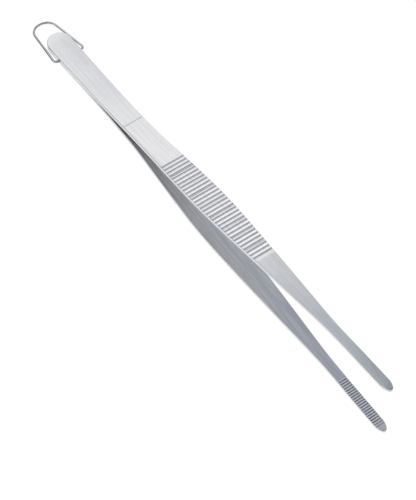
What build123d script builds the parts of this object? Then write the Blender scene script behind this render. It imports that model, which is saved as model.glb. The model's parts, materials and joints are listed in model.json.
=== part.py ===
from build123d import *
from math import asin, atan2, cos, degrees, hypot, radians, sin
import os

# Long kitchen tongs of the tweezer kind: two sprung steel arms, welded face to face at the
# heel, and a wire loop in the heel to hang them by.
#
# Lengths are millimetres and angles are degrees. Each arm is drawn in a frame of its own,
# with X from the heel's end to the tip along the tongs' middle plane, and Z out of that
# plane towards the arm's outer face. The tongs lie on the lower arm, on the plane Z = 0.

# Steel strip that both arms are cut from
arm_length = 300.0
strip_thickness = 2.2
edge_round = 0.35

# Plan of an arm: its widths, and how far they lie from the heel's end or from the tip
heel_width = 14.3
heel_round_length = 7.0
waist_width = 13.0
waist_from_heel = 80.0
grip_width = 16.5
grip_from_heel = 145.7
taper_width = 13.4
shank_width = 8.8
neck_width = 5.7
neck_from_tip = 40.0
pad_width = 5.9
pad_from_tip = 15.0
tip_round_length = 6.5

# Shares of the way from the grip to the neck at which the taper and the shank are measured
taper_share = 0.342082
shank_share = 0.692913

# Side view of an arm: where it leaves the weld, a slight wedge, and the two bends after that
parting_from_heel = 27.5
parting_angle = 0.85
parting_radius = 250.0
wedge_run = 13.0
spread_angle = 6.05
spread_radius = 557.0
straight_run = 14.3
ease_angle = 3.65
ease_radius = 1195.0

# Line across the arm where its spring is taken to bend
flex_from_heel = 77.7

# Grooves across the outer face, for the fingers
groove_count = 32
groove_pitch = 2.575
first_groove_from_heel = 114.6
groove_radius = 0.75
groove_depth = 0.5

# Teeth across the inner face at the tip
notch_count = 24
notch_pitch = 1.48
last_notch_from_tip = 1.6
notch_depth = 0.45

# Hanging loop of round wire, and its hole through the weld line of the heel
wire_diameter = 1.5
pin_clearance = 0.06
pin_depth = 4.5
pivot_from_heel = 16.7
mouth_chamfer = 0.5
mouth_angle = 45
wire_bend_radius = 2.0
leg_clearance = 0.7
loop_reach = 28.4
bow_width = 12.7
bow_radius = 6.6

# How far a cutting shape runs past what it cuts
overrun = 2.0

# Share of its tangents at which a quarter round's control points stand
quarter_round_share = 0.5523


def side_path(lift):
    """The strip in side view, lift above its inner face, from before the heel to past the tip."""
    with BuildLine() as path:
        flat = Line((-overrun, lift), (parting_from_heel, lift))
        parting = JernArc(flat @ 1, flat % 1, parting_radius - lift, parting_angle)
        wedge = PolarLine(parting @ 1, wedge_run, direction=parting % 1)
        spread = JernArc(wedge @ 1, wedge % 1, spread_radius - lift, spread_angle)
        run = PolarLine(spread @ 1, straight_run, direction=spread % 1)
        ease = JernArc(run @ 1, run % 1, ease_radius + lift, -ease_angle)
        last_run = arm_length + overrun - (ease @ 1).X
        PolarLine(ease @ 1, last_run, direction=ease % 1, length_mode=LengthMode.HORIZONTAL)
    return path.wires()[0]


inner_path = side_path(0)
outer_path = side_path(strip_thickness)

# The heel's end and the outer side of the second bend touch the surface, so the middle
# plane climbs towards the tips by the slope of the line from the one to the other.
ease_centre = outer_path.edges().filter_by(GeomType.CIRCLE).sort_by(SortBy.RADIUS)[-1].arc_center
touch_run = ease_centre.X - edge_round
touch_drop = ease_centre.Y - strip_thickness
touch_radius = ease_radius + strip_thickness
rest_slope = degrees(
    atan2(touch_drop, touch_run) + asin(touch_radius / hypot(touch_run, touch_drop))
)
rest_cos = cos(radians(rest_slope))
rest_sin = sin(radians(rest_slope))

# The loop lies with its bow on the surface too
heel_bottom = strip_thickness * rest_cos - edge_round * rest_sin
pivot_height = heel_bottom + pivot_from_heel * rest_sin
wire_radius = wire_diameter / 2
loop_drop = degrees(asin((pivot_height - wire_radius) / loop_reach))

# Origin under the middle of the whole length, from the loop's bow to the lower arm's tip
tip_height = (outer_path @ 1).Y
bow_end = pivot_from_heel * rest_cos - loop_reach * cos(radians(loop_drop)) - wire_radius
tip_end = (
    (arm_length - edge_round) * rest_cos + (tip_height - edge_round) * rest_sin + edge_round
)
middle = Plane(
    origin=(-(bow_end + tip_end) / 2, 0, heel_bottom),
    x_dir=(rest_cos, 0, rest_sin),
    z_dir=(-rest_sin, 0, rest_cos),
)
upper_frame = middle
lower_frame = Plane(origin=middle.origin, x_dir=middle.x_dir, z_dir=-middle.z_dir)


def side_plane(frame):
    """Plane of an arm's side view: along the arm, and out towards its outer face."""
    return Plane(origin=frame.origin, x_dir=frame.x_dir, z_dir=-frame.y_dir)


def plan_outline():
    """Half the outline of an arm seen from above, from the heel's end to the tip."""
    half_heel = heel_width / 2
    half_pad = pad_width / 2
    neck = (arm_length - neck_from_tip, neck_width / 2)
    narrowing = neck[0] - grip_from_heel
    pad = (arm_length - pad_from_tip, half_pad)
    tip_start = arm_length - tip_round_length
    heel_pull = heel_round_length * (1 - quarter_round_share)
    tip_pull = tip_start + tip_round_length * quarter_round_share
    level = [(1, 0), (1, 0)]
    Bezier(
        (0, 0),
        (0, half_heel * quarter_round_share),
        (heel_pull, half_heel),
        (heel_round_length, half_heel),
    )
    Spline((heel_round_length, half_heel), (waist_from_heel, waist_width / 2), tangents=level)
    Spline((waist_from_heel, waist_width / 2), (grip_from_heel, grip_width / 2), tangents=level)
    Spline(
        (grip_from_heel, grip_width / 2),
        (grip_from_heel + narrowing * taper_share, taper_width / 2),
        (grip_from_heel + narrowing * shank_share, shank_width / 2),
        neck,
        tangents=level,
    )
    Spline(neck, pad, tangents=level)
    Line(pad, (tip_start, half_pad))
    Bezier(
        (tip_start, half_pad),
        (tip_pull, half_pad),
        (arm_length, half_pad * quarter_round_share),
        (arm_length, 0),
    )


def on_outer_face(edge, frame):
    """Whether an edge of an arm lies nearer to its outer face than to its inner one."""
    spot = frame.to_local_coords(edge @ 0.5)
    inner_spot = inner_path.position_at(overrun + spot.X, PositionMode.LENGTH)
    return spot.Z - inner_spot.Y > strip_thickness / 2


def make_arm(frame):
    """One whole arm: the bent strip, its rounded edges, its grooves and its teeth."""
    side = side_plane(frame)
    with BuildPart() as arm:
        with BuildSketch(frame.offset(-overrun)):
            with BuildLine():
                plan_outline()
                mirror(about=Plane.XZ)
            make_face()
        extrude(amount=tip_height + 2 * overrun)
        with BuildSketch(side):
            with BuildLine():
                add(inner_path)
                add(outer_path)
                Line(inner_path @ 0, outer_path @ 0)
                Line(inner_path @ 1, outer_path @ 1)
            make_face()
        extrude(amount=grip_width, both=True, mode=Mode.INTERSECT)

        not_upright = arm.edges().filter_by(Axis(frame.origin, frame.z_dir), reverse=True)
        long_edges = not_upright.filter_by(Axis.Y, reverse=True)
        fillet(long_edges.filter_by(lambda edge: on_outer_face(edge, frame)), radius=edge_round)

        with BuildSketch(side):
            for index in range(groove_count):
                distance = overrun + first_groove_from_heel + index * groove_pitch
                spot = outer_path.position_at(distance, PositionMode.LENGTH)
                with Locations(spot + Vector(0, groove_radius - groove_depth)):
                    Circle(groove_radius)
        extrude(amount=grip_width, both=True, mode=Mode.SUBTRACT)

        with BuildSketch(side):
            for index in range(notch_count):
                from_tip = overrun + last_notch_from_tip + index * notch_pitch
                spot = inner_path.position_at(inner_path.length - from_tip, PositionMode.LENGTH)
                with Locations(spot):
                    RegularPolygon(notch_depth, side_count=4)
        extrude(amount=pad_width, both=True, mode=Mode.SUBTRACT)

        hole_radius = wire_radius + pin_clearance
        with BuildSketch(side):
            with Locations((pivot_from_heel, 0)):
                Circle(hole_radius)
        extrude(amount=heel_width, both=True, mode=Mode.SUBTRACT)
        for flank in (-1, 1):
            mouth = Plane(
                origin=frame.from_local_coords(Vector(pivot_from_heel, flank * heel_width / 2, 0)),
                x_dir=frame.x_dir,
                z_dir=flank * frame.y_dir,
            )
            with BuildSketch(mouth):
                Circle(hole_radius + mouth_chamfer)
            extrude(amount=-mouth_chamfer, taper=mouth_angle, mode=Mode.SUBTRACT)
    return arm.part


flex_plane = Plane(
    origin=middle.from_local_coords(Vector(flex_from_heel, 0, 0)),
    x_dir=middle.y_dir,
    z_dir=middle.x_dir,
)
upper_arm = make_arm(upper_frame)
lower_arm = make_arm(lower_frame)

# Welded heels, which stand still
with BuildPart() as upper_heel:
    add(upper_arm)
    split(bisect_by=flex_plane, keep=Keep.BOTTOM)
upper_heel.part.label = "upper_heel"

with BuildPart() as lower_heel:
    add(lower_arm)
    split(bisect_by=flex_plane, keep=Keep.BOTTOM)
lower_heel.part.label = "lower_heel"

# Blades, which close on each other
with BuildPart() as upper_blade:
    add(upper_arm)
    split(bisect_by=flex_plane, keep=Keep.TOP)
upper_blade.part.label = "upper_blade"

with BuildPart() as lower_blade:
    add(lower_arm)
    split(bisect_by=flex_plane, keep=Keep.TOP)
lower_blade.part.label = "lower_blade"

# Hanging loop: one wire, from a pin in the hole round the bow to the other pin
loop_cos = cos(radians(loop_drop))
loop_sin = sin(radians(loop_drop))
loop_plane = Plane(
    origin=middle.from_local_coords(Vector(pivot_from_heel, 0, 0)),
    x_dir=(-loop_cos, 0, -loop_sin),
    z_dir=(-loop_sin, 0, loop_cos),
)
pin_end = heel_width / 2 - pin_depth
leg_start = heel_width / 2 + leg_clearance + wire_bend_radius
leg_end = bow_width / 2

with BuildPart() as hanging_loop:
    with BuildLine(loop_plane) as wire_path:
        FilletPolyline(
            (0, -pin_end),
            (0, -leg_start),
            (loop_reach, -leg_end),
            (loop_reach, leg_end),
            (0, leg_start),
            (0, pin_end),
            radius=[wire_bend_radius, bow_radius, bow_radius, wire_bend_radius],
        )
    with BuildSketch(wire_path.line ^ 0):
        Circle(wire_radius)
    sweep()
hanging_loop.part.label = "hanging_loop"

os.makedirs("parts", exist_ok=True)
for piece in (upper_heel, lower_heel, upper_blade, lower_blade, hanging_loop):
    export_step(piece.part, "parts/" + piece.part.label + ".step")

print("Middle plane climbs", round(rest_slope, 4), "degrees; loop drops", round(loop_drop, 4))
print("Middle plane's heel end at", middle.origin, "and loop's pivot at", loop_plane.origin)
for heel, frame in ((upper_heel, upper_frame), (lower_heel, lower_frame)):
    end_face = heel.faces().sort_by(Axis(frame.origin, frame.x_dir))[-1]
    inner_edge = end_face.edges().sort_by(Axis(frame.origin, frame.z_dir))[0]
    print(heel.part.label, "flexes about its inner edge at", inner_edge @ 0.5)
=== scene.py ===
# %% [markdown]
# # Long kitchen tongs in brushed stainless steel
#
# The real thing is two strips of spring steel, welded face to face at one end, with a loop of
# bright wire hooked through the weld to hang them by. The imported model is the fixed frame that
# everything here is built on, so it is loaded before anything else.

# %% Load the imported model
import json
from math import ceil, cos, hypot, pi, radians, sin, sqrt

import bpy
import numpy as np
from mathutils import Matrix, Vector


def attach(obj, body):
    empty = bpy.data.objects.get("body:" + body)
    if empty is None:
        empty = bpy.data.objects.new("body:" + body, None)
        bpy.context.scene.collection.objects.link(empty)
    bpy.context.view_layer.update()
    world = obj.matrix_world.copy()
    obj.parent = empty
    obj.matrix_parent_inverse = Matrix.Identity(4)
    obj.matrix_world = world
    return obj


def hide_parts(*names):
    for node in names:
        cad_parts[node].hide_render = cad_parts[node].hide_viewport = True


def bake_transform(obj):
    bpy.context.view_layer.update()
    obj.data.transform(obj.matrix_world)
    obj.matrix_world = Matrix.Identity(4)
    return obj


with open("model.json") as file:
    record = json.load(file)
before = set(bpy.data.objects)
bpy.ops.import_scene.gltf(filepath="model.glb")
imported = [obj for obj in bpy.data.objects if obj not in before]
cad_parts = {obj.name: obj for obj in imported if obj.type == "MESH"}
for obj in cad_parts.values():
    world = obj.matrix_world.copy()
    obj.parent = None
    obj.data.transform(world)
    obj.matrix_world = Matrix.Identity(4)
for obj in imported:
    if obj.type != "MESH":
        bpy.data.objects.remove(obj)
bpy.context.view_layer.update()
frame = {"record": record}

MM = 0.001
scene = bpy.context.scene

# %% [markdown]
# ## Where the arms lie
#
# The tongs lie on one arm, so their middle plane climbs a little towards the tips. The record
# holds a flat spot on each heel, one each side of that plane. From the two come the middle
# plane's slope, the strip's thickness and the heel's end, and both arms are then drawn in one
# frame: x from the heel's end to the tips, y across, and z out of the middle plane. The lower
# arm is the same with z turned over. Lengths are millimetres until the last moment.

# %% Frame of the arms
FLAT_FROM_HEEL = 15.0
UPPER, LOWER = 1, -1

record = frame["record"]
mounts = {mount["name"]: mount for mount in record["mounts"]}
joints = {joint["name"]: joint for joint in record["behaviour"]["joints"]}
upper_flat = np.array(mounts["upper_heel_flat"]["pos_m"]) / MM
lower_flat = np.array(mounts["lower_heel_flat"]["pos_m"]) / MM
across_weld = upper_flat - lower_flat
THICKNESS = float(np.linalg.norm(across_weld)) / 2
outward = across_weld / np.linalg.norm(across_weld)
sideways = np.array((0.0, 1.0, 0.0))
along = np.cross(sideways, outward)
heel_end = (upper_flat + lower_flat) / 2 - along * FLAT_FROM_HEEL


def arm_to_world(points, arm):
    """Points (x, y, z) of an arm, in millimetres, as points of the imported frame, in metres."""
    x, y, z = np.asarray(points, float).T
    placed = heel_end + np.outer(x, along) + np.outer(y, sideways) + np.outer(z * arm, outward)
    return placed * MM


print("strip", round(THICKNESS, 3), "mm thick, heel's end at", heel_end.round(3))

# %% [markdown]
# ## The strip in side view
#
# Bent strip is straight runs and round bends, one after the other, so the side view is walked
# in small steps with a heading that turns through each bend. The outer face is the same walk,
# moved out by the thickness. Both faces are then read as heights over x. The walk goes a little
# past the tip, so that a height can be read at the tip itself.

# %% Side view
ARM_LENGTH = 300.0
PAST_TIP = 2.0
STEP = 0.1
HEEL_RUN, WEDGE_RUN, GRIP_RUN = 27.5, 13.0, 14.3
PARTING_RADIUS, PARTING_ANGLE = 250.0, 0.85
SPREAD_RADIUS, SPREAD_ANGLE = 557.0, 6.05
EASE_RADIUS, EASE_ANGLE = 1195.0, 3.65


def bend(radius, angle):
    """A round bend of the inner face: its length, and the angle that it turns by."""
    return radius * radians(abs(angle)), angle


SIDE_RUNS = (
    (HEEL_RUN, 0.0),
    bend(PARTING_RADIUS, PARTING_ANGLE),
    (WEDGE_RUN, 0.0),
    bend(SPREAD_RADIUS, SPREAD_ANGLE),
    (GRIP_RUN, 0.0),
    bend(EASE_RADIUS, -EASE_ANGLE),
)


def walk(runs):
    """Places (x, z) and headings along the inner face, one each STEP or less."""
    places, headings = [(0.0, 0.0)], [0.0]
    end_x = ARM_LENGTH + PAST_TIP
    for length, turn in (*runs, (end_x, 0.0)):
        count = ceil(length / STEP)
        for _ in range(count):
            heading = headings[-1] + radians(turn) / count
            middle = (heading + headings[-1]) / 2
            x, z = places[-1]
            places.append((x + length / count * cos(middle), z + length / count * sin(middle)))
            headings.append(heading)
    return np.array(places), np.array(headings)


inner, heading = walk(SIDE_RUNS)
outer = inner + THICKNESS * np.column_stack((-np.sin(heading), np.cos(heading)))


def run_length(path):
    """Length along a side view up to each of its points."""
    steps = np.hypot(*np.diff(path, axis=0).T)
    return np.concatenate(([0.0], np.cumsum(steps)))


def spot_at(path, length):
    """Place (x, z) at a length along a side view."""
    lengths = run_length(path)
    return np.interp(length, lengths, path[:, 0]), np.interp(length, lengths, path[:, 1])


print("inner face at the tip", round(float(np.interp(ARM_LENGTH, *inner.T)), 3), "mm out")

# %% [markdown]
# ## The strip from above
#
# The plan is what a stamping die cuts: a rounded heel, a slight waist, the wide grip, a long
# taper to the neck, and a slim pad with a rounded tip. Each named place holds its distance from
# the heel's end and half the width there. Between them the edge runs through a cubic spline that
# is level at its ends, solved here for the slopes at its knots.

# %% Plan of an arm
HALF_HEEL, HEEL_ROUND = 7.15, 7.0
HALF_PAD, TIP_ROUND = 2.95, 6.5
TIP_START = ARM_LENGTH - TIP_ROUND
WAIST, GRIP = (80.0, 6.5), (145.7, 8.25)
TAPER, SHANK = (184.8, 6.7), (224.9, 4.4)
NECK, PAD = (260.0, 2.85), (285.0, HALF_PAD)
WIDTH_RUNS = (
    ((HEEL_ROUND, HALF_HEEL), WAIST),
    (WAIST, GRIP),
    (GRIP, TAPER, SHANK, NECK),
    (NECK, PAD),
)


def knot_slopes(knots):
    """Slopes of the smooth curve through some knots, level at the first and the last."""
    x, y = np.array(knots).T
    gaps = np.diff(x)
    rises = np.diff(y) / gaps
    system, right = np.eye(len(x)), np.zeros(len(x))
    for i in range(1, len(x) - 1):
        before, after = 1 / gaps[i - 1], 1 / gaps[i]
        system[i, i - 1 : i + 2] = before, 2 * (before + after), after
        right[i] = 3 * (rises[i - 1] * before + rises[i] * after)
    return np.linalg.solve(system, right)


def spline_width(x):
    """Half the width at x, between the rounded heel and the pad."""
    for knots in WIDTH_RUNS:
        if x <= knots[-1][0]:
            break
    slopes = knot_slopes(knots)
    for (x0, y0), (x1, y1), s0, s1 in zip(knots, knots[1:], slopes, slopes[1:]):
        if x <= x1 or x1 == knots[-1][0]:
            gap = x1 - x0
            t = min((x - x0) / gap, 1.0)
            rise = (3 - 2 * t) * t * t
            pull = gap * t * (1 - t) * (s0 * (1 - t) - s1 * t)
            return y0 + (y1 - y0) * rise + pull


def edge_point(x):
    """The plan's edge at x: half the width, and the direction out of the edge."""
    if x < HEEL_ROUND:
        reach = 1 - x / HEEL_ROUND
        height = sqrt(max(1 - reach * reach, 0.0))
        tangent = (HEEL_ROUND * height, HALF_HEEL * reach)
        half = HALF_HEEL * height
    elif x > TIP_START:
        reach = min((x - TIP_START) / TIP_ROUND, 1.0)
        height = sqrt(max(1 - reach * reach, 0.0))
        tangent = (TIP_ROUND * height, -HALF_PAD * reach)
        half = HALF_PAD * height
    else:
        half = spline_width(x)
        tangent = (2 * STEP, spline_width(x + STEP) - spline_width(x - STEP))
    size = hypot(*tangent)
    return half, (-tangent[1] / size, tangent[0] / size)


print("half widths", *[round(edge_point(x)[0], 2) for x in (15, 80, 146, 200, 260, 290)])

# %% [markdown]
# ## Grooves, teeth, scribed line and wire hole
#
# A ball-nosed cutter leaves round grooves across the outer face for the fingers, and a pointed
# one leaves V-shaped teeth across the inner face of the pad. Each only takes steel away, so a
# face's height is the lower of the strip's own height and the cutter's. The same holds for
# the fine scribed line across the arm, and for the hole that the wire turns in: half a round
# channel in each inner face, opened to a cone at both sides.

# %% Heights of the faces
GROOVES, GROOVE_PITCH, FIRST_GROOVE = 32, 2.575, 114.6
GROOVE_RADIUS, GROOVE_DEPTH = 0.75, 0.5
TEETH, TOOTH_PITCH, LAST_NOTCH_FROM_TIP, NOTCH_DEPTH = 24, 1.48, 1.6, 0.45
SCRIBE_AT, SCRIBE_HALF, SCRIBE_DEPTH = 77.7, 0.12, 0.035
HOLE_AT, HOLE_RADIUS, MOUTH = 16.7, 0.81, 0.5

groove_half = sqrt(GROOVE_RADIUS**2 - (GROOVE_RADIUS - GROOVE_DEPTH) ** 2)
groove_spots = [spot_at(outer, FIRST_GROOVE + i * GROOVE_PITCH) for i in range(GROOVES)]
path_length = np.interp(ARM_LENGTH + PAST_TIP, inner[:, 0], run_length(inner)) - PAST_TIP
notch_spots = [
    spot_at(inner, path_length - LAST_NOTCH_FROM_TIP - i * TOOTH_PITCH) for i in range(TEETH)
]


def outer_height(x, drop):
    """Height of the outer face at x, drop below it where its edge is rounded."""
    height = np.interp(x, *outer.T) - drop
    height -= SCRIBE_DEPTH * max(0.0, 1 - abs(x - SCRIBE_AT) / SCRIBE_HALF)
    for centre_x, centre_z in groove_spots:
        away = abs(x - centre_x)
        if away < GROOVE_RADIUS:
            floor = centre_z + GROOVE_RADIUS - GROOVE_DEPTH - sqrt(GROOVE_RADIUS**2 - away**2)
            height = min(height, floor)
    return height


def inner_height(x, rise, inset):
    """Height of the inner face at x, rise above it at its edge, inset from the arm's side."""
    height = np.interp(x, *inner.T) + rise
    for centre_x, centre_z in notch_spots:
        height = max(height, centre_z + NOTCH_DEPTH - abs(x - centre_x))
    radius = HOLE_RADIUS + max(MOUTH - inset, 0.0)
    away = abs(x - HOLE_AT)
    if away < radius:
        height = max(height, sqrt(radius**2 - away**2))
    return height


print(len(groove_spots), "grooves from", round(float(groove_spots[0][0]), 2), "mm")
print(len(notch_spots), "teeth to", round(float(notch_spots[0][0]), 2), "mm")

# %% [markdown]
# ## Stations along the arm
#
# The mesh is a ladder of cross sections. They stand close together only where something
# changes: round the two ends, through each groove and notch, at the scribed line and at the
# wire's hole. Elsewhere one each two millimetres is enough, because the strip is nearly flat.
# Stations that fall almost together are thinned out to one.

# %% Stations
END_STEPS, PLAIN_STEP, TIP_STEP, LEAST_GAP = 24, 2.0, 0.12, 0.03
HOLE_FAN, MOUTH_FAN, GROOVE_FAN = 5, 6, 6
SCRIBE_SHARES = (-1, -0.5, 0, 0.5, 1)
NOTCH_SHARES = (-1.06, -0.5, 0, 0.5, 0.94)


def fan(centre, half, count):
    """Places across a round thing, closer together towards its sides."""
    return [centre + half * sin(pi / 2 * i / count) for i in range(-count, count + 1)]


quarter_turn = [pi / 2 * i / END_STEPS for i in range(END_STEPS + 1)]
stations = [HEEL_ROUND * (1 - cos(turn)) for turn in quarter_turn]
stations += [TIP_START + TIP_ROUND * sin(turn) for turn in quarter_turn]
stations += list(np.arange(HEEL_ROUND, TIP_START, PLAIN_STEP))
stations += list(np.arange(TIP_START, ARM_LENGTH, TIP_STEP))
stations += [SCRIBE_AT + SCRIBE_HALF * share for share in SCRIBE_SHARES]
stations += fan(HOLE_AT, HOLE_RADIUS, HOLE_FAN) + fan(HOLE_AT, HOLE_RADIUS + MOUTH, MOUTH_FAN)
for spot_x, _ in groove_spots:
    stations += fan(spot_x, groove_half, GROOVE_FAN)
for spot_x, _ in notch_spots:
    stations += [spot_x + NOTCH_DEPTH * share for share in NOTCH_SHARES]

stations = sorted(x for x in stations if 0 <= x <= ARM_LENGTH)
kept = [stations[0]]
for x in stations[1:]:
    if x - kept[-1] > LEAST_GAP:
        kept.append(x)
kept[-1] = ARM_LENGTH
stations = kept
print(len(stations), "stations")

# %% [markdown]
# ## One section of the arm
#
# One side of a section starts near the middle of the outer face, goes over the rounded edge,
# down the side and round the inner edge, and ends a little way in on the inner face. The tips
# are ground rounder than the rest, so the outer edge's radius grows there. At the weld the
# inner edges meet in a tight seam, so theirs is almost sharp up to where the arms part.
#
# Each point also keeps how deep a cutter went there, which later picks its finish.

# %% Section of the arm
EDGE_ROUND, TIP_EDGE_ROUND, TIP_GRINDING = 0.35, 0.9, 40.0
HEEL_SEAM_ROUND, INNER_ROUND = 0.08, 0.2
SEAM_END, SEAM_FADE = 36.0, 14.0
OUTER_STEPS, INNER_STEPS = 5, 3


def ease(value):
    """From 0 to 1 without a corner at either end."""
    t = min(max(value, 0.0), 1.0)
    return t * t * (3 - 2 * t)


def section(x):
    """Points of one side of the section at x: (x, y, z, how deep a cutter went there)."""
    half, (out_x, out_y) = edge_point(x)
    outer_round = EDGE_ROUND + (TIP_EDGE_ROUND - EDGE_ROUND) * ease(
        (x - ARM_LENGTH + TIP_GRINDING) / TIP_GRINDING
    )
    inner_round = HEEL_SEAM_ROUND + (INNER_ROUND - HEEL_SEAM_ROUND) * ease(
        (x - SEAM_END) / SEAM_FADE
    )
    points = []
    for i in range(OUTER_STEPS + 1):
        turn = pi / 2 * i / OUTER_STEPS
        inset = outer_round * (1 - sin(turn))
        px, drop = x - inset * out_x, outer_round * (1 - cos(turn))
        height = outer_height(px, drop)
        cut = np.interp(px, *outer.T) - drop - height
        points.append((px, half - inset * out_y, height, cut))
    for i in range(INNER_STEPS, -1, -1):
        turn = pi / 2 * i / INNER_STEPS
        inset = inner_round * (1 - sin(turn))
        px = x - inset * out_x
        rise = inner_round * (1 - cos(turn))
        height = inner_height(px, rise, inset)
        points.append((px, half - inset * out_y, height, height - rise - np.interp(px, *inner.T)))
    px = x - MOUTH * out_x
    height = inner_height(px, 0.0, MOUTH)
    points.append((px, half - MOUTH * out_y, height, height - np.interp(px, *inner.T)))
    return np.array(points)


sections = [section(x) for x in stations]
print(len(sections[0]), "points on each side of a section")

# %% [markdown]
# ## One whole arm as one mesh
#
# The imported model holds each arm as a heel and a blade, with a hinge between them, but the
# real one is a single strip that springs. So each arm is one mesh here, and it stands for both
# nodes.
#
# Both sides of a section share their points at the heel's end and at the tip, which closes the
# ends. Each face gets one of three finishes: brushed outside and down the sides, as rolled
# inside, and smooth where a cutter went deeper than a hundredth of a millimetre. The UV map is
# in metres, along the arm and round its section. The inner face has its own stretch of the map,
# so that its streaks aren't those of the outer face.

# %% Ladder of sections
def ladder_points():
    """Points (x, y, z), their ways round the section, their cuts, and their numbers."""
    points, ways, cuts, numbers = [], [], [], {}
    for i, rows in enumerate(sections):
        shared = i in (0, len(sections) - 1)
        steps = np.hypot(*np.diff(rows[:, 1:3], axis=0).T)
        way = abs(rows[0, 1]) + np.concatenate(([0.0], np.cumsum(steps)))
        for side in (1, -1):
            for j, (x, y, z, cut) in enumerate(rows):
                if side < 0 and shared:
                    numbers[i, side, j] = numbers[i, 1, j]
                    continue
                numbers[i, side, j] = len(points)
                points.append((x, 0.0 if shared else side * y, z))
                ways.append(0.0 if shared else side * way[j])
                cuts.append(cut)
    return points, ways, cuts, numbers


def ladder_faces(numbers):
    """Faces between neighbouring sections, and for each whether it is on the inner side."""
    faces, inside = [], []
    last = len(sections[0]) - 1
    for i in range(len(sections) - 1):
        for side in (1, -1):
            for j in range(last):
                ring = [numbers[i, side, j], numbers[i + 1, side, j]]
                ring += [numbers[i + 1, side, j + 1], numbers[i, side, j + 1]]
                faces.append(ring if side > 0 else ring[::-1])
                inside.append(j > OUTER_STEPS)
        for j, turned in ((0, True), (last, False)):
            ring = [numbers[i, 1, j], numbers[i + 1, 1, j]]
            ring += [numbers[i + 1, -1, j], numbers[i, -1, j]]
            ring = list(dict.fromkeys(ring))
            faces.append(ring[::-1] if turned else ring)
            inside.append(j > 0)
    return faces, inside


points, ways, cuts, numbers = ladder_points()
faces, inside = ladder_faces(numbers)
print("ladder of", len(points), "points and", len(faces), "faces")

# %% Arm mesh
OUTSIDE, INSIDE, CUT = range(3)
LEAST_CUT = 0.01
INNER_MAP = 2 * ARM_LENGTH
SHARP_ANGLE = 30


def add_object(name, data):
    """A new object in the scene, at the origin."""
    thing = bpy.data.objects.new(name, data)
    scene.collection.objects.link(thing)
    return thing


def make_arm(name, arm):
    """One arm: its mesh, the finish of each face and its UV map."""
    rings = [ring[::-1] for ring in faces] if arm == UPPER else faces
    mesh = bpy.data.meshes.new(name)
    mesh.from_pydata(arm_to_world(points, arm).tolist(), [], rings)
    mesh.update()
    layer = mesh.uv_layers.new(name="strip")
    for polygon, under in zip(mesh.polygons, inside):
        cut = max(cuts[vertex] for vertex in polygon.vertices) > LEAST_CUT
        polygon.material_index = CUT if cut else INSIDE if under else OUTSIDE
        for loop in polygon.loop_indices:
            vertex = mesh.loops[loop].vertex_index
            x, y, _ = points[vertex]
            way = y + INNER_MAP if under else ways[vertex]
            layer.data[loop].uv = (x * MM, way * MM)
    mesh.shade_smooth()
    mesh.set_sharp_from_angle(angle=radians(SHARP_ANGLE))
    return add_object(name, mesh)


upper_arm = make_arm("upper_arm_strip", UPPER)
lower_arm = make_arm("lower_arm_strip", LOWER)
print("each arm has", len(upper_arm.data.polygons), "faces")

# %% [markdown]
# ## The hanging loop
#
# One length of drawn wire, bent round a former: a pin in the heel's hole, a tight bend, a leg,
# the round bow, and the same back again. Its line is made of straight runs and exact arcs, and
# a round tube follows it. The record's hinge gives its pivot, and its eye the way it points.
# Use has pressed the real one a little to one side, so the whole line leans that way.

# %% Line of the wire
WIRE_RADIUS = 0.75
PIN_DEPTH, LEG_CLEARANCE, LOOP_REACH, HALF_BOW = 4.5, 0.7, 28.4, 6.35
BEND_RADIUS, BOW_RADIUS = 2.0, 6.6
LOOP_LEAN, LEAN_FROM = 0.034, 2.0
ARC_STEPS = 14

pivot = np.array(joints["loop_swing"]["pos_m"]) / MM
eye = np.array(mounts["hanging_eye"]["pos_m"]) / MM
reach_way = (eye - pivot) / np.linalg.norm(eye - pivot)
loop_up = np.cross(reach_way, sideways)
pin_end = HALF_HEEL - PIN_DEPTH
leg_start = HALF_HEEL + LEG_CLEARANCE + BEND_RADIUS
wire_corners = [
    (0.0, -pin_end),
    (0.0, -leg_start),
    (LOOP_REACH, -HALF_BOW),
    (LOOP_REACH, HALF_BOW),
    (0.0, leg_start),
    (0.0, pin_end),
]
corner_radii = (BEND_RADIUS, BOW_RADIUS, BOW_RADIUS, BEND_RADIUS)


def rounded_line(corners, radii):
    """Points of straight runs joined by arcs, as bent wire lies on a flat bench."""
    corners = [np.array(corner) for corner in corners]
    line = [corners[0]]
    for before, corner, after, radius in zip(corners, corners[1:], corners[2:], radii):
        back = (before - corner) / np.linalg.norm(before - corner)
        on = (after - corner) / np.linalg.norm(after - corner)
        half_angle = np.arccos(np.clip(back @ on, -1, 1)) / 2
        bisector = (back + on) / np.linalg.norm(back + on)
        centre = corner + bisector * radius / sin(half_angle)
        start = corner + back * radius / np.tan(half_angle) - centre
        end = corner + on * radius / np.tan(half_angle) - centre
        sweep = pi - 2 * half_angle
        for i in range(ARC_STEPS + 1):
            share = sweep * i / ARC_STEPS
            line.append(centre + (start * sin(sweep - share) + end * sin(share)) / sin(sweep))
    line.append(corners[-1])
    return np.array(line)


loop_line = rounded_line(wire_corners, corner_radii)
loop_line[:, 1] -= LOOP_LEAN * (loop_line[:, 0] - LEAN_FROM)
print("loop of", round(float(run_length(loop_line)[-1]), 1), "mm of wire")

# %% [markdown]
# ## Round wire along its line
#
# A curve with a bevel would give the tube too, but a mesh made here gets the same kind of UV
# map as the arms, in metres along the wire and round it, for the marks that the die leaves.

# %% Wire loop
ROUND_STEPS, WIRE_SHARP_ANGLE = 20, 40


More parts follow.
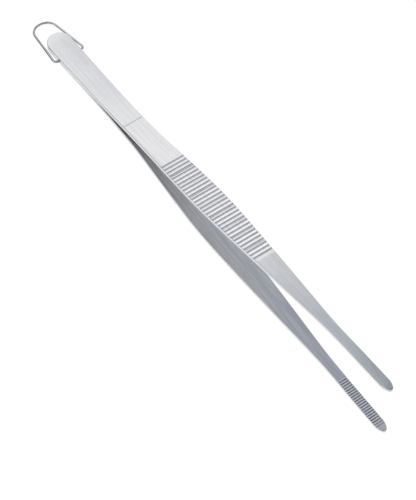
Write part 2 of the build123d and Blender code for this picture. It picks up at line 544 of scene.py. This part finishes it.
def make_wire(name, line, radius):
    """A round tube along a flat line of the loop's plane, with flat ends."""
    tangents = np.gradient(line, axis=0)
    tangents /= np.linalg.norm(tangents, axis=1)[:, None]
    spots = [(line[0], tangents[0], 0.0)]
    spots += [(spot, tangent, radius) for spot, tangent in zip(line, tangents)]
    spots += [(line[-1], tangents[-1], 0.0)]
    lengths = np.concatenate(([0.0], run_length(line), [run_length(line)[-1]]))
    points, faces = [], []
    for spot, tangent, size in spots:
        side = np.array((-tangent[1], tangent[0]))
        for k in range(ROUND_STEPS):
            turn = 2 * pi * k / ROUND_STEPS
            flat = spot + side * size * cos(turn)
            points.append(
                pivot + reach_way * flat[0] + sideways * flat[1] + loop_up * size * sin(turn)
            )
    for i in range(len(spots) - 1):
        for k in range(ROUND_STEPS):
            a, b = i * ROUND_STEPS + k, i * ROUND_STEPS + (k + 1) % ROUND_STEPS
            faces.append((a, b, b + ROUND_STEPS, a + ROUND_STEPS))
    mesh = bpy.data.meshes.new(name)
    mesh.from_pydata((np.array(points) * MM).tolist(), [], faces)
    mesh.update()
    layer = mesh.uv_layers.new(name="strip")
    for face, polygon in enumerate(mesh.polygons):
        k = face % ROUND_STEPS
        for loop, step in zip(polygon.loop_indices, (k, k + 1, k + 1, k)):
            i = mesh.loops[loop].vertex_index // ROUND_STEPS
            layer.data[loop].uv = (lengths[i] * MM, 2 * pi * radius * step / ROUND_STEPS * MM)
    mesh.shade_smooth()
    mesh.set_sharp_from_angle(angle=radians(WIRE_SHARP_ANGLE))
    return add_object(name, mesh)


wire_loop = make_wire("wire_loop", loop_line, WIRE_RADIUS)
print("the wire loop has", len(wire_loop.data.polygons), "faces")

# %% [markdown]
# ## Colours and nodes
#
# Colours are written as they look on a screen, and one function turns them to the linear values
# that a shader works with. Another small one adds a node with its settings and its links.

# %% Helpers for materials
def linear(hex_colour):
    """An sRGB hex colour as the linear RGBA that a shader takes."""
    parts = [int(hex_colour[i : i + 2], 16) / 255 for i in (1, 3, 5)]
    return (*[p / 12.92 if p <= 0.04045 else ((p + 0.055) / 1.055) ** 2.4 for p in parts], 1.0)


def add_node(tree, kind, settings=None, links=None, **values):
    """Add a node: its settings are attributes, its values and links go to named inputs."""
    node = tree.nodes.new(kind)
    for name, value in (settings or {}).items():
        setattr(node, name, value)
    for name, value in values.items():
        node.inputs[name.replace("_", " ")].default_value = value
    for name, socket in (links or {}).items():
        tree.links.new(socket, node.inputs[name])
    return node


def new_material(name):
    """An empty node material, and its output node."""
    material = bpy.data.materials.new(name)
    material.use_nodes = True
    material.node_tree.nodes.clear()
    return material, material.node_tree.nodes.new("ShaderNodeOutputMaterial")


print("white is", linear("#FFFFFF")[:3])

# %% [markdown]
# ## Brushed stainless steel
#
# The arms are cold-rolled 18/10 stainless strip, brushed lengthwise with a fine belt. To the
# eye that is a pale, slightly cool grey that mirrors only broad shapes: each scratch is a
# tiny trough, so a reflection is smeared across the scratches far more than along them.
#
# The scratches are a noise pulled long in the arm's own UV map, which is in metres. A real
# belt leaves scratches about 0.02 mm wide, far too fine to show here, so they are drawn
# 0.35 mm wide and 25 mm long, and the shader's anisotropy stands for the rest. A broader
# noise, 1.3 mm by 30 mm, gives the slow change of tone that rolled strip has.
#
# Only the outer faces and the sides are brushed. The inner faces keep the duller, streakier
# skin that the mill's rolls leave. What a cutter made, which is the grooves, the teeth, the
# scribed line and the wire's hole, is smoother than either. One function makes all three, from
# two tones, two roughnesses, the height of the scratches in millimetres and the anisotropy.

# %% Streaks along the steel
SCRATCH_LONG, SCRATCH_WIDE, SCRATCH_DETAIL = 25.0, 0.35, 3.0
CLOUD_LONG, CLOUD_WIDE, CLOUD_DETAIL = 30.0, 1.3, 2.0


def streaks(tree, place, long, wide, detail):
    """A noise pulled out along the strip, each streak about long by wide millimetres."""
    stretched = add_node(
        tree,
        "ShaderNodeMapping",
        links={"Vector": place.outputs["UV"]},
        Scale=(1 / (long * MM), 1 / (wide * MM), 1.0),
    )
    return add_node(
        tree,
        "ShaderNodeTexNoise",
        {"noise_dimensions": "2D"},
        {"Vector": stretched.outputs["Vector"]},
        Scale=1.0,
        Detail=detail,
        Roughness=0.6,
    )


print("scratches", SCRATCH_WIDE, "mm wide, clouds", CLOUD_WIDE, "mm wide")

# %% Streaked steel
QUARTER_TURN = 0.25


def streaked_steel(name, tones, roughness, scratch_height, anisotropy):
    """Steel with lengthwise streaks: dark to light, smooth to rough, and a fine relief."""
    material, output = new_material(name)
    tree = material.node_tree
    place = add_node(tree, "ShaderNodeUVMap", {"uv_map": "strip"})
    scratches = streaks(tree, place, SCRATCH_LONG, SCRATCH_WIDE, SCRATCH_DETAIL)
    clouds = streaks(tree, place, CLOUD_LONG, CLOUD_WIDE, CLOUD_DETAIL)
    patches = add_node(
        tree,
        "ShaderNodeMapRange",
        links={"Value": clouds.outputs[0]},
        From_Min=0.35,
        From_Max=0.65,
    )
    tone = add_node(
        tree,
        "ShaderNodeMix",
        {"data_type": "RGBA"},
        {"Factor": patches.outputs["Result"]},
    )
    colour_inputs = [socket for socket in tone.inputs if socket.type == "RGBA"]
    for socket, colour in zip(colour_inputs, tones):
        socket.default_value = linear(colour)
    colour_output = next(socket for socket in tone.outputs if socket.type == "RGBA")
    spread = add_node(
        tree,
        "ShaderNodeMapRange",
        links={"Value": scratches.outputs[0]},
        From_Min=0.3,
        From_Max=0.7,
        To_Min=roughness[0],
        To_Max=roughness[1],
    )
    relief = add_node(
        tree,
        "ShaderNodeBump",
        links={"Height": scratches.outputs[0]},
        Strength=1.0,
        Distance=scratch_height * MM,
    )
    grain = add_node(tree, "ShaderNodeTangent", {"direction_type": "UV_MAP", "uv_map": "strip"})
    shader = add_node(
        tree,
        "ShaderNodeBsdfPrincipled",
        links={
            "Base Color": colour_output,
            "Roughness": spread.outputs["Result"],
            "Normal": relief.outputs["Normal"],
            "Tangent": grain.outputs["Tangent"],
        },
        Metallic=1.0,
        Anisotropic=anisotropy,
        Anisotropic_Rotation=QUARTER_TURN,
    )
    tree.links.new(shader.outputs["BSDF"], output.inputs["Surface"])
    return material


print("one function for every streaked steel")

# %% Finishes of the arms
arm_steel = streaked_steel(
    "brushed_stainless",
    tones=("#D6D7D9", "#DEDFE1"),
    roughness=(0.26, 0.31),
    scratch_height=0.0015,
    anisotropy=0.5,
)
mill_steel = streaked_steel(
    "mill_finish_stainless",
    tones=("#D2D3D5", "#E4E5E6"),
    roughness=(0.32, 0.42),
    scratch_height=0.005,
    anisotropy=0.4,
)
cut_steel = streaked_steel(
    "milled_stainless",
    tones=("#DCDDDF", "#E2E3E4"),
    roughness=(0.15, 0.18),
    scratch_height=0.0005,
    anisotropy=0.0,
)
for piece in (upper_arm, lower_arm):
    for finish in (arm_steel, mill_steel, cut_steel):
        piece.data.materials.append(finish)
print(arm_steel.name, "has", len(arm_steel.node_tree.nodes), "nodes")

# %% [markdown]
# ## Drawn wire
#
# Spring wire is drawn through a die, which leaves it far brighter than the arms: it mirrors
# its surroundings, squeezed into thin lines. The die's marks run along it, and are so fine that
# only a little roughness and a slight change of tone show.

# %% Bright wire
wire_steel = streaked_steel(
    "drawn_stainless_wire",
    tones=("#B9BCC0", "#D2D5D8"),
    roughness=(0.04, 0.07),
    scratch_height=0.0005,
    anisotropy=0.0,
)
wire_loop.data.materials.append(wire_steel)
print(wire_steel.name, "has", len(wire_steel.node_tree.nodes), "nodes")

# %% [markdown]
# ## What moves with what
#
# Each arm's strip stands for its heel node and its blade node, which are hidden. The loop
# swings on its own body.

# %% Bodies
for piece, arm, body, nodes in (
    (upper_arm, UPPER, "upper_arm", ("upper_heel", "upper_blade")),
    (lower_arm, LOWER, "lower_arm", ("lower_heel", "lower_blade")),
):
    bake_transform(piece)
    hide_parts(*nodes)
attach(wire_loop, "loop")
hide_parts("hanging_loop")

# %% [markdown]
# ## The table
#
# A product shot like this lies on a sheet of matt white paper, too wide for its edge to show
# from above. In this plain light the paper itself renders grey. The rest is made up where the
# camera sees it, directly or in the steel, so that the background is white and the shadow
# under the tongs stays. Its fibres are far too fine to show, so its relief is drawn coarser.

# %% White paper
FLOOR_RADIUS = 4.0
PAPER_COLOUR, PAPER_ROUGHNESS = "#DCDCDC", 0.9
PAPER_LIFT, PAPER_GLOW = 0.76, "#FFFDFA"
RELIEF_ACROSS, RELIEF_HEIGHT, RELIEF_STRENGTH = 9.0, 0.1, 0.05


def paper():
    """Matt white paper, lifted to white where the camera sees it."""
    material, output = new_material("white_paper")
    tree = material.node_tree
    place = tree.nodes.new("ShaderNodeTexCoord")
    fibres = add_node(
        tree,
        "ShaderNodeTexNoise",
        links={"Vector": place.outputs["Object"]},
        Scale=1 / (RELIEF_ACROSS * MM),
        Detail=2.0,
    )
    relief = add_node(
        tree,
        "ShaderNodeBump",
        links={"Height": fibres.outputs[0]},
        Strength=RELIEF_STRENGTH,
        Distance=RELIEF_HEIGHT * MM,
    )
    matt = add_node(
        tree,
        "ShaderNodeBsdfPrincipled",
        links={"Normal": relief.outputs["Normal"]},
        Base_Color=linear(PAPER_COLOUR),
        Roughness=PAPER_ROUGHNESS,
    )
    rays = add_node(tree, "ShaderNodeLightPath")
    seen = rays.outputs["Is Camera Ray"]
    for kind in ("Is Glossy Ray", "Is Transmission Ray"):
        either = add_node(tree, "ShaderNodeMath", {"operation": "ADD", "use_clamp": True})
        tree.links.new(seen, either.inputs[0])
        tree.links.new(rays.outputs[kind], either.inputs[1])
        seen = either.outputs[0]
    lift = add_node(tree, "ShaderNodeMath", {"operation": "MULTIPLY"})
    tree.links.new(seen, lift.inputs[0])
    lift.inputs[1].default_value = PAPER_LIFT
    glow = add_node(
        tree,
        "ShaderNodeEmission",
        links={"Strength": lift.outputs[0]},
        Color=linear(PAPER_GLOW),
    )
    both = tree.nodes.new("ShaderNodeAddShader")
    tree.links.new(matt.outputs["BSDF"], both.inputs[0])
    tree.links.new(glow.outputs["Emission"], both.inputs[1])
    tree.links.new(both.outputs["Shader"], output.inputs["Surface"])
    return material


white_paper = paper()
print(white_paper.name, "has", len(white_paper.node_tree.nodes), "nodes")

# %% Table
corners = [(-FLOOR_RADIUS, -FLOOR_RADIUS), (FLOOR_RADIUS, -FLOOR_RADIUS)]
corners += [(FLOOR_RADIUS, FLOOR_RADIUS), (-FLOOR_RADIUS, FLOOR_RADIUS)]
floor_mesh = bpy.data.meshes.new("table")
floor_mesh.from_pydata([(x, y, 0.0) for x, y in corners], [], [(0, 1, 2, 3)])
table = add_object("table", floor_mesh)
table.data.materials.append(white_paper)
print("table", 2 * FLOOR_RADIUS, "m wide")

# %% [markdown]
# ## Light
#
# Steel shows what stands round it, so the light is laid out as mirror images. One big soft
# box hangs behind the heel: the heel and the grip mirror it and are bright, and the tips,
# which look past its front edge, mirror the plain grey room and are darker.
#
# The room's tones lie in rings round one line, which runs from low behind the heel to low
# beyond the tips. Each tone's place is the cosine of its angle to that line: 1 is low behind
# the heel, 0 overhead and to both sides, and -1 low beyond the tips. The room is dark where the
# walls meet the floor behind the heel, light a little higher, grey overhead, and light again
# beyond the tips. Just above that light end a dark ring gives the grooves and the teeth their
# thin dark lines.

# %% Room
ROOM_WAY = Vector((-0.85, -0.36, -0.3)).normalized()
ROOM_TONES = (
    (-0.97, "#DCDDE8"),
    (-0.88, "#D2D4DE"),
    (-0.8, "#1E1F20"),
    (-0.6, "#1E1F20"),
    (-0.44, "#B0B4BC"),
    (-0.13, "#B8C1CE"),
    (-0.04, "#7A808A"),
    (0.06, "#A0A6B1"),
    (0.13, "#B9C2CF"),
    (0.2, "#D6DAE1"),
    (0.32, "#E6E8EB"),
    (0.46, "#CFD3DB"),
    (0.6, "#333436"),
)


def studio_room():
    """A world of tones in rings round one line, each at the cosine of its angle to it."""
    world = bpy.data.worlds.new("grey_room")
    world.use_nodes = True
    tree = world.node_tree
    place = tree.nodes.new("ShaderNodeTexCoord")
    towards = add_node(
        tree,
        "ShaderNodeVectorMath",
        {"operation": "DOT_PRODUCT"},
        {"Vector": place.outputs["Generated"]},
    )
    towards.inputs[1].default_value = ROOM_WAY
    share = add_node(
        tree,
        "ShaderNodeMapRange",
        links={"Value": towards.outputs["Value"]},
        From_Min=-1.0,
        From_Max=1.0,
    )
    tones = add_node(tree, "ShaderNodeValToRGB", links={"Fac": share.outputs["Result"]})
    stops = tones.color_ramp.elements
    while len(stops) < len(ROOM_TONES):
        stops.new(1.0)
    for stop, (way, colour) in zip(stops, ROOM_TONES):
        stop.position, stop.color = (way + 1) / 2, linear(colour)
    tree.links.new(tones.outputs["Color"], tree.nodes["Background"].inputs["Color"])
    return world


scene.world = studio_room()
print("room of", len(ROOM_TONES), "tones")

# %% Soft box
BOX_PLACE, BOX_TARGET = (-0.785, 0.3, 0.6), (-0.785, 0.3, 0.0)
BOX_WIDTH, BOX_DEPTH = 0.9, 1.0
BOX_BRIGHTNESS, BOX_COLOUR = 0.48, "#FFF6EA"


def soft_box(name, place, target, width, depth, brightness, colour):
    """A rectangular soft box that shines from place to target. Brightness 1 mirrors as white."""
    data = bpy.data.lights.new(name, "AREA")
    data.shape = "RECTANGLE"
    data.size, data.size_y = width, depth
    data.energy = brightness * pi * width * depth
    data.color = linear(colour)[:3]
    lamp = add_object(name, data)
    lamp.location = place
    lamp.rotation_euler = (Vector(target) - Vector(place)).to_track_quat("-Z", "Y").to_euler()
    lamp.visible_camera = False
    return lamp


box_size = (BOX_WIDTH, BOX_DEPTH)
box = soft_box("rear_soft_box", BOX_PLACE, BOX_TARGET, *box_size, BOX_BRIGHTNESS, BOX_COLOUR)
print("one soft box of", round(box.data.energy, 2), "W")

# %% [markdown]
# ## Camera
#
# The camera was worked out from the photograph together with the arms' own shape: its turn
# round the object, its height above the table, its roll and its distance. A long lens from
# 1.3 m away gives the near tips only a little more size than the far heel. The sensor's long
# side is the picture's height, so the lens comes from the focal length in picture heights.

# %% Camera
AZIMUTH, ELEVATION, ROLL = 48.122, 57.773, 6.757
DISTANCE, ACROSS, UPWARD = 1282.7, 0.67, -27.14
AIM = Vector((0.0, 0.0, 20.0))
FOCAL_PIXELS, PICTURE_HEIGHT, SENSOR = 2427.4, 500.0, 36.0

turn, lift_angle, roll = radians(AZIMUTH), radians(ELEVATION), radians(ROLL)
back = Vector((sin(turn) * cos(lift_angle), -cos(turn) * cos(lift_angle), sin(lift_angle)))
level = Vector((cos(turn), sin(turn), 0.0))
upright = back.cross(level)
right = level * cos(roll) + upright * sin(roll)
up = upright * cos(roll) - level * sin(roll)
place = (AIM + back * DISTANCE + right * ACROSS + up * UPWARD) * MM

camera_data = bpy.data.cameras.new("camera")
camera_data.sensor_width = SENSOR
camera_data.lens = FOCAL_PIXELS * SENSOR / PICTURE_HEIGHT
camera_data.clip_start, camera_data.clip_end = 0.05, 50.0
camera = add_object("camera", camera_data)
camera.matrix_world = Matrix.Translation(place) @ Matrix((right, up, back)).transposed().to_4x4()
scene.camera = camera
scene.view_settings.view_transform = "Standard"
print("camera at", tuple(round(value, 3) for value in place), "lens", round(camera_data.lens, 1))
